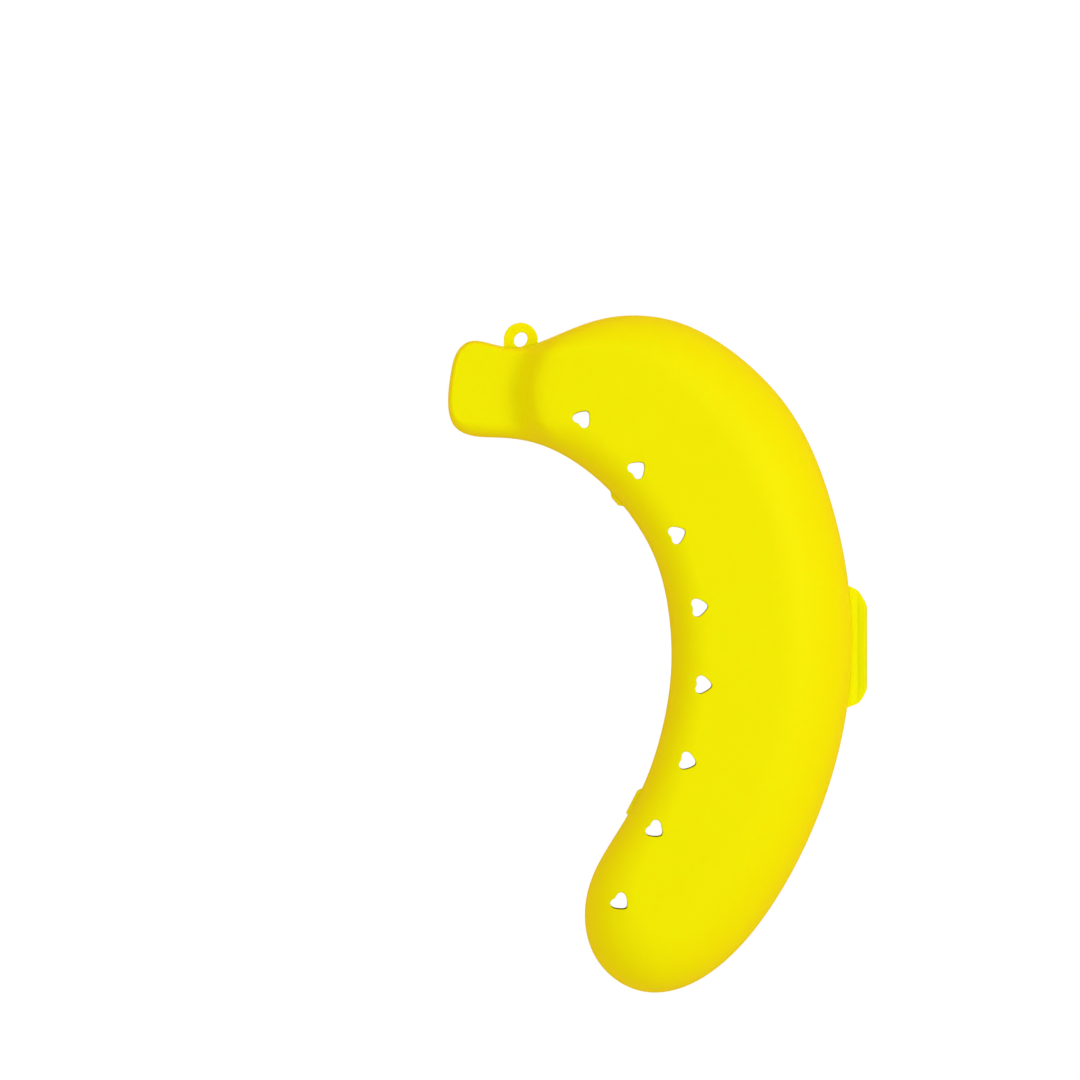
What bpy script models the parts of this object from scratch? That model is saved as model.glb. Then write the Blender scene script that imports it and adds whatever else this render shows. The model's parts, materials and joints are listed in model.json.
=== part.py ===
"""Banana storage case: two thin half shells, back to back, joined along one side by a living hinge.

Metres, +Z up. The closed case lies on the flat of its back shell, its length along Y and its stem
towards -X. The two shells meet at the parting plane, and the front shell swings up and over about
the hinge line beside the outer side of the bend.
"""

import math

import bmesh
import bpy
import numpy as np
from mathutils import Matrix, Vector

MM = 0.001

# ---------------------------------------------------------------- driving dimensions
BODY_DEPTH = 22.0 * MM  # one half shell, parting plane to flat face
STEM_DEPTH = 12.5 * MM  # one half of the stem cover
WALL = 1.4 * MM
DRAFT = math.radians(2.0)  # lean of the side walls, so that the shell leaves its mould
GAP = 0.3 * MM  # clearance between neighbouring pieces
PARTING_Z = BODY_DEPTH

# Where the stem cover rises into the body, along X; the rise bows round the end of the body.
SHOULDER_X = -37.2 * MM  # where it is steepest
SHOULDER_SPREAD = 2.7 * MM  # small for a steep shoulder
SHOULDER_BOW_Y = 72.8 * MM
SHOULDER_BOW = 1 / (40.0 * MM)  # shift along X for the square of the distance from that line
SHOULDER_BOW_LIMIT = 5.0 * MM
EDGE_FULLNESS = 1.5  # how much of the wall's height a wide rounded edge takes up

# The outline at the parting plane, in millimetres, as stations from the stem end to the tip:
# (x, y, width of the rounded edge) on the inner side of the bend, then on the outer side.
STEM_END = (-58.6, 72.6, 1.3)
TIP_END = (-9.8, -92.5, 17.0)
STATIONS = [
    ((-58.3, 67.0, 1.6), (-57.7, 79.6, 1.3)),
    ((-56.6, 63.3, 2.8), (-55.8, 85.0, 1.3)),
    ((-52.8, 61.2, 4.2), (-53.0, 87.3, 1.3)),
    ((-46.0, 60.5, 4.4), (-46.0, 86.6, 1.3)),
    ((-38.5, 59.9, 5.2), (-38.5, 85.8, 2.0)),
    ((-33.5, 58.7, 7.0), (-30.0, 88.4, 4.5)),
    ((-28.5, 56.7, 9.5), (-16.0, 93.6, 9.0)),
    ((-21.5, 52.5, 10.5), (4.0, 93.3, 15.0)),
    ((-14.0, 46.2, 10.5), (22.5, 83.4, 19.0)),
    ((-7.2, 38.2, 10.5), (38.2, 66.4, 20.0)),
    ((-0.8, 26.9, 10.5), (48.3, 43.4, 20.0)),
    ((3.1, 11.5, 10.5), (53.4, 19.8, 20.0)),
    ((3.7, -6.0, 10.5), (54.0, -7.5, 20.0)),
    ((0.8, -23.0, 10.5), (50.4, -28.7, 20.0)),
    ((-5.2, -39.5, 11.0), (43.0, -50.2, 20.0)),
    ((-13.1, -52.9, 12.0), (31.6, -71.2, 20.0)),
    ((-18.8, -64.0, 14.0), (18.6, -86.4, 19.0)),
    ((-20.3, -75.0, 16.0), (7.0, -93.5, 17.5)),
    ((-17.5, -84.8, 17.0), (-1.8, -94.9, 17.0)),
]

TRIM_SIZE = 300.0 * MM  # cube that cuts each skin level at the parting plane
SMOOTH_ANGLE = math.radians(40.0)

# How finely the smooth shapes are cut into flat faces.
OUTLINE_STEP = 6.0 * MM
EDGE_STEPS = 5
FLAT_STEPS = 3

# Heart vents along the inner side: centre in millimetres and the way the point looks, in degrees.
VENTS = [
    (-21.0, 65.8, 52),
    (-5.7, 51.6, 43),
    (5.5, 33.4, 26),
    (11.7, 13.0, 9),
    (12.8, -8.7, -6),
    (8.4, -30.1, -17),
    (-0.7, -49.2, -40),
    (-10.5, -69.5, -43),
]
VENT_WIDTH = 5.6 * MM
VENT_LENGTH = 5.0 * MM
VENT_POINTS = 14

# Hinge: one flange on each shell, and a thin web bent round the hinge line between them.
HINGE_X = 57.7 * MM
HINGE_TOP_Y = 19.0 * MM
HINGE_BOTTOM_Y = -15.3 * MM
FLANGE_END_X = 56.2 * MM
FLANGE_THICKNESS = 1.2 * MM
WEB_RADIUS = 0.8 * MM
WEB_THICKNESS = 0.4 * MM
WEB_ARC_STEPS = 6
# Plan of the tab made by the flanges and the web, in millimetres, from its top end.
TAB_PLAN = [(53.0, 19.2), (56.3, 17.8), (58.8, 13.4), (58.8, -9.9), (56.7, -13.8), (52.8, -15.3)]

# Hanging loop: one thin eye on each shell, beside the stem.
LOOP_CENTRE = (-38.3 * MM, 87.9 * MM)
LOOP_RADIUS = 4.75 * MM
LOOP_HOLE_RADIUS = 1.95 * MM
LOOP_ROOT_Y = 85.3 * MM  # inside the wall of the stem cover
LOOP_THICKNESS = 1.3 * MM
LOOP_LIFT = 0.2 * MM  # parting plane to the near face of each eye
LOOP_POINTS = 24

# Latches: a tongue on the front shell passes down outside the back shell, and its window takes a
# catch. Each is (x, y, angle of the wall in degrees, length), in millimetres, at the wall.
LATCHES = {"upper": (-11.4, 43.4, 131.0, 5.8), "lower": (-6.2, -41.5, 63.0, 8.8)}
TONGUE_PROUD = 0.95 * MM  # outer face of the tongue to the wall
TONGUE_THICKNESS = 0.6 * MM
TONGUE_DROP = 5.2 * MM  # below the parting plane
TONGUE_ROOT = 3.4 * MM  # above the parting plane
ROOT_THICKNESS = 1.85 * MM  # reaches into the wall
ROOT_INSET = 0.05 * MM  # the root stays this much inside the strip's faces
WINDOW_MARGIN = 1.3 * MM
WINDOW_TOP = 1.2 * MM  # below the parting plane
WINDOW_HEIGHT = 2.4 * MM
CATCH_PROUD = 0.35 * MM  # how far the catch stands past the inner face of the tongue
CATCH_DEPTH = 1.6 * MM  # from its face into the wall

YELLOW = (0.88, 0.80, 0.005, 1.0)
ROUGHNESS = 0.42


# ---------------------------------------------------------------- outline
def closed_spline(knots):
    """Second derivatives and knot distances of the smooth closed curve through the knots."""
    count = len(knots)
    after = np.roll(knots, -1, axis=0)
    before = np.roll(knots, 1, axis=0)
    step = np.linalg.norm((after - knots)[:, :2], axis=1)
    last_step = np.roll(step, 1)
    system = np.zeros((count, count))
    for i in range(count):
        system[i, i - 1] += last_step[i]
        system[i, i] += 2 * (last_step[i] + step[i])
        system[i, (i + 1) % count] += step[i]
    right = 6 * ((after - knots) / step[:, None] - (knots - before) / last_step[:, None])
    return np.linalg.solve(system, right), step


def spline_point(knots, bend, step, i, t):
    """Point and direction at fraction t of the stretch after knot i."""
    j = (i + 1) % len(knots)
    h = step[i]
    a = (1 - t) * h
    b = t * h
    start = knots[i] / h - bend[i] * h / 6
    end = knots[j] / h - bend[j] * h / 6
    point = (bend[i] * a**3 + bend[j] * b**3) / (6 * h) + start * a + end * b
    slope = (bend[j] * b**2 - bend[i] * a**2) / (2 * h) - start + end
    return point, slope[:2]


def outline(spacing):
    """Anticlockwise outline as arrays of points, inward normals and edge widths.

    It starts at the stem end, and the point opposite number i is number -i, so both sides hold
    the same number of points between stem and tip.
    """
    inner = [station[0] for station in STATIONS]
    outer = [station[1] for station in STATIONS]
    knots = np.array([STEM_END] + inner + [TIP_END] + outer[::-1]) * MM
    bend, step = closed_spline(knots)
    half = len(STATIONS) + 1
    cuts = []
    for i in range(half):
        longest = max(step[i], step[-1 - i])
        cuts.append(max(1, round(longest / spacing)))
    cuts = cuts + cuts[::-1]
    rows = []
    for i, count in enumerate(cuts):
        for k in range(count):
            rows.append(spline_point(knots, bend, step, i, k / count))
    points = np.array([row[0] for row in rows])
    slopes = np.array([row[1] for row in rows])
    slopes /= np.linalg.norm(slopes, axis=1)[:, None]
    normals = np.column_stack((-slopes[:, 1], slopes[:, 0]))
    return points[:, :2], normals, points[:, 2]


def depth_at(x, y):
    """Distance from the parting plane to the flat face of one shell over a place."""
    bow = min(SHOULDER_BOW_LIMIT, SHOULDER_BOW * (y - SHOULDER_BOW_Y) ** 2)
    rise = 0.5 + 0.5 * math.tanh((x - bow - SHOULDER_X) / SHOULDER_SPREAD)
    return STEM_DEPTH + (BODY_DEPTH - STEM_DEPTH) * rise


def edge_depth(depth, width):
    """Height of the rounded edge, which eats most of the wall where the edge is wide."""
    return depth * math.tanh(EDGE_FULLNESS * width / depth)


# ---------------------------------------------------------------- general helpers
def new_object(name, mesh, collection):
    thing = bpy.data.objects.new(name, mesh)
    collection.objects.link(thing)
    return thing


def mesh_object(name, shape, collection):
    mesh = bpy.data.meshes.new(name)
    shape.to_mesh(mesh)
    shape.free()
    return new_object(name, mesh, collection)


def hide_tool(thing):
    thing.hide_render = True
    thing.display_type = "WIRE"
    return thing


def box(name, size, place, angle, collection):
    """A box of the given size about a place, turned about Z."""
    shape = bmesh.new()
    bmesh.ops.create_cube(shape, size=1.0)
    bmesh.ops.scale(shape, vec=size, verts=shape.verts)
    thing = mesh_object(name, shape, collection)
    thing.location = place
    thing.rotation_euler.z = angle
    return thing


def prism(name, points, low, high, collection):
    """The plan outline pulled up from low to high."""
    shape = bmesh.new()
    corners = [shape.verts.new((x, y, low)) for x, y in points]
    base = shape.faces.new(corners)
    pulled = bmesh.ops.extrude_face_region(shape, geom=[base])
    top = [item for item in pulled["geom"] if isinstance(item, bmesh.types.BMVert)]
    bmesh.ops.translate(shape, vec=(0, 0, high - low), verts=top)
    bmesh.ops.recalc_face_normals(shape, faces=shape.faces)
    return mesh_object(name, shape, collection)


def boolean(thing, operation, tool):
    cut = thing.modifiers.new(f"{operation.lower()}_{tool.name}", "BOOLEAN")
    cut.operation = operation
    cut.solver = "EXACT"
    cut.object = tool


def plastic(name):
    material = bpy.data.materials.new(name)
    material.use_nodes = True
    shader = material.node_tree.nodes["Principled BSDF"]
    shader.inputs["Base Color"].default_value = YELLOW
    shader.inputs["Roughness"].default_value = ROUGHNESS
    shader.inputs["Metallic"].default_value = 0.0
    material.diffuse_color = YELLOW
    return material


def set_origin(thing, place):
    thing.data.transform(Matrix.Translation(-Vector(place)))
    thing.location = place


# ---------------------------------------------------------------- shells
def edge_rings(points, normals, widths):
    """Rings of the outer skin from below the parting plane up to the flat face."""
    count = len(points)
    rings = [np.column_stack((points, np.full(count, -2 * WALL)))]
    rings.append(np.column_stack((points, np.zeros(count))))
    for k in range(EDGE_STEPS + 1):
        turn = 0.5 * math.pi * k / EDGE_STEPS
        ring = []
        for point, normal, width in zip(points, normals, widths):
            rough = point + normal * width * (1 - math.cos(turn))
            depth = depth_at(*rough)
            round_part = edge_depth(depth, width)
            lean = (depth - round_part) * math.tan(DRAFT)
            inset = lean + (width - lean) * (1 - math.cos(turn))
            height = depth - round_part * (1 - math.sin(turn))
            ring.append((*(point + normal * inset), height))
        rings.append(np.array(ring))
    return rings


def shell_skin(name, side, collection):
    """Outer skin of one half, open below: side is +1 for the front half and -1 for the back."""
    rings = edge_rings(*outline(OUTLINE_STEP))
    count = len(rings[0])
    half = count // 2
    shape = bmesh.new()
    layers = [[shape.verts.new(row) for row in ring] for ring in rings]
    for low, high in zip(layers, layers[1:]):
        for i in range(count):
            j = (i + 1) % count
            shape.faces.new((low[i], low[j], high[j], high[i]))
    top = layers[-1]
    lines = [[top[0]]]
    for i in range(1, half):
        line = [top[i]]
        for k in range(1, FLAT_STEPS):
            place = top[i].co.lerp(top[-i].co, k / FLAT_STEPS)
            place.z = depth_at(place.x, place.y)
            line.append(shape.verts.new(place))
        lines.append(line + [top[-i]])
    lines.append([top[half]])
    for line, after in zip(lines, lines[1:]):
        for k in range(FLAT_STEPS):
            corners = [line[min(k, len(line) - 1)], after[min(k, len(after) - 1)]]
            corners += [after[min(k + 1, len(after) - 1)], line[min(k + 1, len(line) - 1)]]
            shape.faces.new(dict.fromkeys(corners))
    if side < 0:
        bmesh.ops.scale(shape, vec=(1, 1, -1), verts=shape.verts)
        bmesh.ops.reverse_faces(shape, faces=shape.faces)
    bmesh.ops.translate(shape, vec=(0, 0, PARTING_Z), verts=shape.verts)
    return mesh_object(name, shape, collection)


def heart(width, length, count):
    """Heart outline about its middle, its point along +X."""
    points = []
    for k in range(count):
        t = 2 * math.pi * (k + 0.5) / count
        across = math.sin(t) ** 3
        along = -(13 * math.cos(t) - 5 * math.cos(2 * t) - 2 * math.cos(3 * t)) / 16
        points.append((0.55 * length * along, 0.5 * width * across))
    return points


def vent_cutter(number, tools):
    x, y, angle = VENTS[number]
    outline_points = heart(VENT_WIDTH, VENT_LENGTH, VENT_POINTS)
    cutter = prism(f"vent_{number + 1}", outline_points, 0, 4 * BODY_DEPTH, tools)
    cutter.location = (x * MM, y * MM, -BODY_DEPTH)
    cutter.rotation_euler.z = math.radians(angle)
    return hide_tool(cutter)


def flange(side, tools):
    """Flat strip from the wall of one shell to the living hinge, at that side of the parting."""
    points, normals, widths = outline(OUTLINE_STEP / 4)
    inside = points + normals * 0.5 * WALL
    near = [p for p in inside if p[0] > 0.8 * HINGE_X and HINGE_BOTTOM_Y < p[1] < HINGE_TOP_Y]
    outer = [(min(x * MM, FLANGE_END_X), y * MM) for x, y in TAB_PLAN]
    plan = [tuple(p) for p in near] + outer[:2] + outer[-2:]
    near_z = PARTING_Z + side * (WEB_RADIUS - FLANGE_THICKNESS / 2)
    far_z = PARTING_Z + side * (WEB_RADIUS + FLANGE_THICKNESS / 2)
    name = "front_flange" if side > 0 else "back_flange"
    return hide_tool(prism(name, plan, min(near_z, far_z), max(near_z, far_z), tools))


def loop(side, tools):
    """Hanging eye of one shell, a flat plate with a hole, rooted in the wall beside the stem."""
    x, y = LOOP_CENTRE
    circle = [2 * math.pi * k / LOOP_POINTS for k in range(LOOP_POINTS)]
    upper = circle[: LOOP_POINTS // 2 + 1]
    plan = [(x + LOOP_RADIUS * math.cos(t), y + LOOP_RADIUS * math.sin(t)) for t in upper]
    plan += [(x - LOOP_RADIUS, LOOP_ROOT_Y), (x + LOOP_RADIUS, LOOP_ROOT_Y)]
    near_z = PARTING_Z + side * LOOP_LIFT
    far_z = near_z + side * LOOP_THICKNESS
    name = "front_loop" if side > 0 else "back_loop"
    eye = prism(name, plan, min(near_z, far_z), max(near_z, far_z), tools)
    hole = [(x + LOOP_HOLE_RADIUS * math.cos(t), y + LOOP_HOLE_RADIUS * math.sin(t)) for t in circle]
    drill = prism(f"{name}_hole", hole, 0, 2 * BODY_DEPTH, tools)
    boolean(eye, "DIFFERENCE", hide_tool(drill))
    return hide_tool(eye)


def latch_frame(label):
    """Middle of the latch's outer face, its way into the case, its turn about Z and its length."""
    x, y, angle, length = LATCHES[label]
    turn = math.radians(angle)
    inward = Vector((math.sin(turn), -math.cos(turn), 0))
    middle = Vector((x * MM, y * MM, PARTING_Z)) - inward * TONGUE_PROUD
    return middle, inward, turn, length * MM


def tongue(label, tools):
    """Latch tongue of the front shell: a thick root on the wall, and a thin strip with a window."""
    middle, inward, turn, length = latch_frame(label)
    strip_height = TONGUE_DROP + TONGUE_ROOT
    strip = box(
        f"{label}_tongue",
        (length, TONGUE_THICKNESS, strip_height),
        middle + inward * TONGUE_THICKNESS / 2 + Vector((0, 0, TONGUE_ROOT - strip_height / 2)),
        turn,
        tools,
    )
    root_height = TONGUE_ROOT - GAP
    root = box(
        f"{label}_tongue_root",
        (length - 2 * ROOT_INSET, ROOT_THICKNESS, root_height),
        middle
        + inward * (ROOT_THICKNESS / 2 + ROOT_INSET)
        + Vector((0, 0, GAP / 2 + root_height / 2)),
        turn,
        tools,
    )
    window = box(
        f"{label}_window",
        (length - 2 * WINDOW_MARGIN, 4 * TONGUE_THICKNESS, WINDOW_HEIGHT),
        middle + Vector((0, 0, -WINDOW_TOP - WINDOW_HEIGHT / 2)),
        turn,
        tools,
    )
    boolean(strip, "UNION", hide_tool(root))
    boolean(strip, "DIFFERENCE", hide_tool(window))
    return hide_tool(strip)


def catch(label, tools):
    """Catch of the back shell, which stands in the window of the tongue."""
    middle, inward, turn, length = latch_frame(label)
    face = TONGUE_THICKNESS - CATCH_PROUD
    block = box(
        f"{label}_catch",
        (length - 2 * WINDOW_MARGIN - 2 * GAP, CATCH_DEPTH, WINDOW_HEIGHT - 2 * GAP),
        middle + inward * (face + CATCH_DEPTH / 2) + Vector((0, 0, -WINDOW_TOP - WINDOW_HEIGHT / 2)),
        turn,
        tools,
    )
    return hide_tool(block)


def half_shell(name, side, parts, tools):
    shell = shell_skin(name, side, parts)
    wall = shell.modifiers.new("wall", "SOLIDIFY")
    wall.thickness = WALL
    wall.offset = -1.0
    wall.use_even_offset = True
    wall.use_quality_normals = True

    trim_z = PARTING_Z + side * (GAP / 2 - TRIM_SIZE / 2)
    trim = box(f"{name}_trim", (TRIM_SIZE, TRIM_SIZE, TRIM_SIZE), (0, 0, trim_z), 0, tools)
    boolean(shell, "DIFFERENCE", hide_tool(trim))
    for number in range(len(VENTS)):
        vent = bpy.data.objects.get(f"vent_{number + 1}") or vent_cutter(number, tools)
        boolean(shell, "DIFFERENCE", vent)
    boolean(shell, "UNION", flange(side, tools))
    boolean(shell, "UNION", loop(side, tools))
    for label in LATCHES:
        boolean(shell, "UNION", tongue(label, tools) if side > 0 else catch(label, tools))
    shell.data.materials.append(plastic(f"{name}_plastic"))
    shell.data.shade_smooth()
    shell.data.set_sharp_from_angle(angle=SMOOTH_ANGLE)
    return shell


# ---------------------------------------------------------------- living hinge
def living_hinge(parts, tools):
    """Thin web bent round the hinge line, its leaves level with the middle of each flange."""
    leaf_x = FLANGE_END_X + GAP - HINGE_X
    turns = [math.pi * (0.5 - k / WEB_ARC_STEPS) for k in range(WEB_ARC_STEPS + 1)]
    section = [(leaf_x, WEB_RADIUS)]
    section += [(WEB_RADIUS * math.cos(t), WEB_RADIUS * math.sin(t)) for t in turns]
    section += [(leaf_x, -WEB_RADIUS)]
    low_y = HINGE_BOTTOM_Y - WALL
    high_y = HINGE_TOP_Y + WALL
    shape = bmesh.new()
    near = [shape.verts.new((x, low_y, z)) for x, z in section]
    far = [shape.verts.new((x, high_y, z)) for x, z in section]
    for k in range(len(section) - 1):
        shape.faces.new((near[k], far[k], far[k + 1], near[k + 1]))
    bmesh.ops.recalc_face_normals(shape, faces=shape.faces)
    web = mesh_object("living_hinge", shape, parts)
    web.location = (HINGE_X, 0, PARTING_Z)
    thickness = web.modifiers.new("thickness", "SOLIDIFY")
    thickness.thickness = WEB_THICKNESS
    thickness.offset = 0.0
    thickness.use_even_offset = True
    plan = [(x * MM, y * MM) for x, y in TAB_PLAN]
    boolean(web, "INTERSECT", hide_tool(prism("tab_plan", plan, 0, 2 * BODY_DEPTH, tools)))
    web.data.materials.append(plastic("living_hinge_plastic"))
    return web


def main():
    for thing in list(bpy.data.objects):
        bpy.data.objects.remove(thing, do_unlink=True)
    parts = bpy.data.collections.new("banana_case")
    tools = bpy.data.collections.new("cutters")
    bpy.context.scene.collection.children.link(parts)
    bpy.context.scene.collection.children.link(tools)

    half_shell("back_shell", -1, parts, tools)
    front = half_shell("front_shell", +1, parts, tools)
    set_origin(front, (HINGE_X, 0, PARTING_Z))
    living_hinge(parts, tools)


main()
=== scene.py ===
"""Looks of the banana storage case: smooth moulded shells, their small fittings, plastic and light.

Metres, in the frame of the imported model: +Z up, the closed case lies on its back shell, its stem
towards -X and its hinge line along Y on the +X side.
"""

import json
import math

import bmesh
import bpy
import numpy as np
from mathutils import Matrix, Vector
from mathutils.bvhtree import BVHTree

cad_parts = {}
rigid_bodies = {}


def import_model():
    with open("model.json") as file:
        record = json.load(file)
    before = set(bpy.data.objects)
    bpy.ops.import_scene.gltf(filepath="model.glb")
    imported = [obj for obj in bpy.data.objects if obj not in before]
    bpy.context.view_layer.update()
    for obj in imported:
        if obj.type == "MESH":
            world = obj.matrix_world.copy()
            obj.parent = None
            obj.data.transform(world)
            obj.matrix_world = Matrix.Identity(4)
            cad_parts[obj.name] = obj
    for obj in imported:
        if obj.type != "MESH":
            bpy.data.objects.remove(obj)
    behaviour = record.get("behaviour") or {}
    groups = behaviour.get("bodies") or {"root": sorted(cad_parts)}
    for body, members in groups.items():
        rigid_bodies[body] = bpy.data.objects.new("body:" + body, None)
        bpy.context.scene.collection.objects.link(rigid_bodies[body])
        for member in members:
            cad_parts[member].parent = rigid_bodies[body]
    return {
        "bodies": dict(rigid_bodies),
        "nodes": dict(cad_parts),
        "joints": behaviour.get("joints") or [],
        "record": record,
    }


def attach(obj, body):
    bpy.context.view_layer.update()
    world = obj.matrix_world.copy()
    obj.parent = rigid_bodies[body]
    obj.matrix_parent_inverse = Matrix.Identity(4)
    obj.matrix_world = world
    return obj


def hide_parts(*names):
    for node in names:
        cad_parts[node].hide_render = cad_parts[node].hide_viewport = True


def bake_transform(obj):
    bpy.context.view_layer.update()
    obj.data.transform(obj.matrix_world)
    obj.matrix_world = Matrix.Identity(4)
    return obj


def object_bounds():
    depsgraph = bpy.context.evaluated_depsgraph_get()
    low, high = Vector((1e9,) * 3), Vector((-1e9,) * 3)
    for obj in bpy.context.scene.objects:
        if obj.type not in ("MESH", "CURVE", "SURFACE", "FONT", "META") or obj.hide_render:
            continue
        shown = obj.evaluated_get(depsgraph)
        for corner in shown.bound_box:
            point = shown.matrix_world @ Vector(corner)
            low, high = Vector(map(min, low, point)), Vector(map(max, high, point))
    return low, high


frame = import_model()
cad_low, cad_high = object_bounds()

MM = 0.001

# ---------------------------------------------------------------- sizes read from the frame
HINGE = Vector(frame["joints"][0]["pos_m"])
PARTING_Z = HINGE.z
BODY_DEPTH = cad_high.z - PARTING_Z

# ---------------------------------------------------------------- sizes shared with the solids
STEM_DEPTH = 12.5 * MM
WALL = 1.4 * MM
DRAFT = math.radians(2.0)
RIM_LIFT = 0.15 * MM  # parting plane to the rim of each shell
RIM_ROUND = 0.22 * MM
LEAST_EDGE = 0.4 * MM  # the narrowest rounded edge that the inner skin keeps
EDGE_FULLNESS = 1.5
SHOULDER_X = -37.2 * MM
SHOULDER_SPREAD = 2.7 * MM
SHOULDER_BOW_Y = 72.8 * MM
SHOULDER_BOW = 1 / (40.0 * MM)
SHOULDER_BOW_LIMIT = 5.0 * MM

# The outline at the parting plane, in millimetres, as stations from the stem end to the tip:
# (x, y, width of the rounded edge) on the inner side of the bend, then on the outer side.
STEM_END = (-58.6, 72.6, 1.3)
TIP_END = (-9.8, -92.5, 17.0)
STATIONS = [
    ((-58.3, 67.0, 1.6), (-57.7, 79.6, 1.3)),
    ((-56.6, 63.3, 2.8), (-55.8, 85.0, 1.3)),
    ((-52.8, 61.2, 4.2), (-53.0, 87.3, 1.3)),
    ((-46.0, 60.5, 4.4), (-46.0, 86.6, 1.3)),
    ((-38.5, 59.9, 5.2), (-38.5, 85.8, 2.0)),
    ((-33.5, 58.7, 7.0), (-30.0, 88.4, 4.5)),
    ((-28.5, 56.7, 9.5), (-16.0, 93.6, 9.0)),
    ((-21.5, 52.5, 10.5), (4.0, 93.3, 15.0)),
    ((-14.0, 46.2, 10.5), (22.5, 83.4, 19.0)),
    ((-7.2, 38.2, 10.5), (38.2, 66.4, 20.0)),
    ((-0.8, 26.9, 10.5), (48.3, 43.4, 20.0)),
    ((3.1, 11.5, 10.5), (53.4, 19.8, 20.0)),
    ((3.7, -6.0, 10.5), (54.0, -7.5, 20.0)),
    ((0.8, -23.0, 10.5), (50.4, -28.7, 20.0)),
    ((-5.2, -39.5, 11.0), (43.0, -50.2, 20.0)),
    ((-13.1, -52.9, 12.0), (31.6, -71.2, 20.0)),
    ((-18.8, -64.0, 14.0), (18.6, -86.4, 19.0)),
    ((-20.3, -75.0, 16.0), (7.0, -93.5, 17.5)),
    ((-17.5, -84.8, 17.0), (-1.8, -94.9, 17.0)),
]

# Heart vents along the inner side: centre in millimetres and the way the point looks, in degrees.
VENTS = [
    (-21.0, 65.8, 52),
    (-5.7, 51.6, 43),
    (5.5, 33.4, 26),
    (11.7, 13.0, 9),
    (12.8, -8.7, -6),
    (8.4, -30.1, -17),
    (-0.7, -49.2, -40),
    (-10.5, -69.5, -43),
]
# Half of the heart's outline about its middle, from its point round one lobe to the notch.
HEART_HALF = [(2.4, 0.0), (1.6, 1.2), (0.4, 2.1), (-0.9, 2.55), (-1.85, 2.05), (-2.1, 1.05)]
HEART_NOTCH = (-1.85, 0.0)
HEART_CUTS = 3
LIP_RADIUS = 0.35 * MM
LIP_STEPS = 5
LIP_TURN = math.radians(81.0)
CUTTER_RISE = 6 * LIP_RADIUS  # how far a heart cutter stands clear of both skins

HINGE_SIDE_X = 0.8 * HINGE.x  # outline points past this one are on the hinge's side
HINGE_TOP_Y = 19.0 * MM
HINGE_BOTTOM_Y = -15.3 * MM
FLANGE_END_X = 56.2 * MM
FLANGE_THICKNESS = 1.2 * MM
WEB_RADIUS = 0.8 * MM
WEB_THICKNESS = 0.4 * MM
WEB_REACH = 0.5 * MM  # how far each leaf of the web is let into its flange
WEB_COVER = 0.1 * MM  # flange left over a leaf of the web
FLANGE_RAMP = 1.4 * MM
TAB_CORNER = 1.6 * MM
TAB_CORNER_STEPS = 6
TAB_PLAN = [(53.0, 19.2), (56.3, 17.8), (58.8, 13.4), (58.8, -9.9), (56.7, -13.8), (52.8, -15.3)]

LOOP_CENTRE = Vector((-38.3 * MM, 87.9 * MM, 0))
LOOP_RADIUS = 4.75 * MM
LOOP_HOLE_RADIUS = 1.95 * MM
LOOP_ROOT_Y = 85.3 * MM
LOOP_THICKNESS = 1.3 * MM
LOOP_LIFT = 0.2 * MM
EYE_HOLE_SQUEEZE = 0.09
EYE_HOLE_TILT = math.radians(32.0)
EYE_EDGE = 0.35 * MM

# Each latch: its middle (x, y in mm), the way along the wall there (degrees), its length at the wall,
# and how far its first and its last end narrow towards the tongue's face (mm).
LATCHES = {
    "upper": (-11.4, 43.4, 131.0, 5.8, 1.2, 1.8),
    "lower": (-6.2, -41.5, 63.0, 8.8, 0.5, 1.4),
}
TONGUE_PROUD = 0.95 * MM
TONGUE_THICKNESS = 0.6 * MM
TONGUE_DROP = 5.2 * MM
TONGUE_ROOT = 3.4 * MM
WINDOW_TOP = 1.2 * MM
WINDOW_HEIGHT = 2.4 * MM
CATCH_GAP = 0.3 * MM
CATCH_PROUD = 0.35 * MM
CATCH_TOP_PROUD = 0.15 * MM
STRIP_BAR = 1.0 * MM  # bar left on each side of the tongue's window
ROOT_REACH = 0.7 * MM  # how far tongues and catches are let into the wall
ROOT_FOOT = 0.45 * MM
ROOT_TOP_PROUD = 0.4 * MM
ROOT_SLOPE = 0.9 * MM
# Sloped corners at the tongue's free end, as (out from the wall, up).
LEAD_IN = (0.2 * MM, 0.5 * MM)
TONGUE_END_CHAMFER = (0.15 * MM, 0.2 * MM)
WINDOW_TAPER = 0.6  # part of the tongue's narrowing by which its window is shorter at each end
FITTING_ROUND = 0.12 * MM
FITTING_ROUND_STEPS = 3

# ---------------------------------------------------------------- fineness of the smooth surfaces
OUTLINE_STEP = 1.4 * MM
FILLET_ROWS = 16
WALL_ROWS = 3
RIM_ROWS = 3
FLAT_COLUMNS = 10
PLATE_EDGE_ROWS = 3
EYE_POINTS = 64
WEB_STEPS = 24
LEAF_STEPS = 4
SMOOTH_ANGLE = math.radians(32.0)
ROUNDED_ANGLE = math.radians(40.0)
NORMAL_WEIGHT = 60
HAIR = 0.01 * MM

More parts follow.
